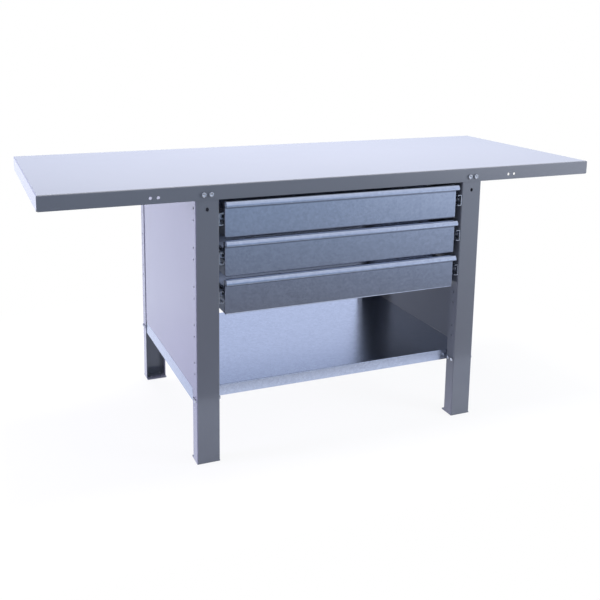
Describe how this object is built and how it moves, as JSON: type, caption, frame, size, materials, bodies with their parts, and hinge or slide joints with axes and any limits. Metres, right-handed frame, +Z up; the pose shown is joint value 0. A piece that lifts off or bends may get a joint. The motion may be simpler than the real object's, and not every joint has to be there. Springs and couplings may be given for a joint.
{
  "type": "workbench",
  "caption": "Grey steel workbench with a folded worktop, channel legs, side panels, galvanised drawers on ball slides and a lower shelf.",
  "frame": {"origin": "on the floor, under the middle of the bench's overall box", "axes": "+X to the right along the worktop, +Y from the drawer fronts to the back, +Z up"},
  "size_m": [1.8, 0.7164, 0.84],
  "materials": {
    "grey_paint": "semi-gloss powder coat",
    "galvanised_sheet": "galvanised, fine spangle",
    "zinc_slide": "bright zinc plate",
    "zinc_fastener": "zinc plate",
    "cage_steel": "plain rolled steel",
    "ball_steel": "polished, greased",
    "rubber": "matte"
  },
  "bodies": {
    "frame": {"drawer_1_slide_left": "zinc_slide", "drawer_1_slide_right": "zinc_slide", "drawer_2_slide_left": "zinc_slide", "drawer_2_slide_right": "zinc_slide", "drawer_3_slide_left": "zinc_slide", "drawer_3_slide_right": "zinc_slide", "foot_plate_front_left": "grey_paint", "foot_plate_front_right": "grey_paint", "foot_plate_rear_left": "grey_paint", "foot_plate_rear_right": "grey_paint", "leg_front_left": "grey_paint", "leg_front_right": "grey_paint", "leg_rear_left": "grey_paint", "leg_rear_right": "grey_paint", "lower_shelf": "galvanised_sheet", "shelf_bolts": "zinc_fastener", "shelf_nuts": "zinc_fastener", "side_panel_left": "grey_paint", "side_panel_right": "grey_paint", "slide_buffers": "rubber", "slide_nuts": "zinc_fastener", "slide_screws": "zinc_fastener", "stiffener_front": "grey_paint", "stiffener_rear": "grey_paint", "worktop": "grey_paint", "worktop_bolts": "zinc_fastener", "worktop_nuts": "zinc_fastener"},
    "drawer_1": {"drawer_1_back": "galvanised_sheet", "drawer_1_front": "galvanised_sheet", "drawer_1_runner_left": "zinc_slide", "drawer_1_runner_right": "zinc_slide", "drawer_1_runner_screws": "zinc_fastener", "drawer_1_tray": "galvanised_sheet"},
    "ball_cages_1": {"drawer_1_ball_cage_left": "cage_steel", "drawer_1_ball_cage_right": "cage_steel", "drawer_1_balls_left": "ball_steel", "drawer_1_balls_right": "ball_steel"},
    "drawer_2": {"drawer_2_back": "galvanised_sheet", "drawer_2_front": "galvanised_sheet", "drawer_2_runner_left": "zinc_slide", "drawer_2_runner_right": "zinc_slide", "drawer_2_runner_screws": "zinc_fastener", "drawer_2_tray": "galvanised_sheet"},
    "ball_cages_2": {"drawer_2_ball_cage_left": "cage_steel", "drawer_2_ball_cage_right": "cage_steel", "drawer_2_balls_left": "ball_steel", "drawer_2_balls_right": "ball_steel"},
    "drawer_3": {"drawer_3_back": "galvanised_sheet", "drawer_3_front": "galvanised_sheet", "drawer_3_runner_left": "zinc_slide", "drawer_3_runner_right": "zinc_slide", "drawer_3_runner_screws": "zinc_fastener", "drawer_3_tray": "galvanised_sheet"},
    "ball_cages_3": {"drawer_3_ball_cage_left": "cage_steel", "drawer_3_ball_cage_right": "cage_steel", "drawer_3_balls_left": "ball_steel", "drawer_3_balls_right": "ball_steel"}
  },
  "joints": [
    {"name": "drawer_1_slide", "type": "slide", "parent": "frame", "child": "drawer_1", "axis": [0, -1, 0], "range_m": [0, 0.48]},
    {"name": "ball_cages_1_roll", "type": "slide", "parent": "frame", "child": "ball_cages_1", "axis": [0, -1, 0], "range_m": [0, 0.24]},
    {"name": "drawer_2_slide", "type": "slide", "parent": "frame", "child": "drawer_2", "axis": [0, -1, 0], "range_m": [0, 0.48]},
    {"name": "ball_cages_2_roll", "type": "slide", "parent": "frame", "child": "ball_cages_2", "axis": [0, -1, 0], "range_m": [0, 0.24]},
    {"name": "drawer_3_slide", "type": "slide", "parent": "frame", "child": "drawer_3", "axis": [0, -1, 0], "range_m": [0, 0.48]},
    {"name": "ball_cages_3_roll", "type": "slide", "parent": "frame", "child": "ball_cages_3", "axis": [0, -1, 0], "range_m": [0, 0.24]}
  ],
  "couplings": [
    {"joint": "ball_cages_1_roll", "follows": "drawer_1_slide", "ratio": 0.5},
    {"joint": "ball_cages_2_roll", "follows": "drawer_2_slide", "ratio": 0.5},
    {"joint": "ball_cages_3_roll", "follows": "drawer_3_slide", "ratio": 0.5}
  ]
}
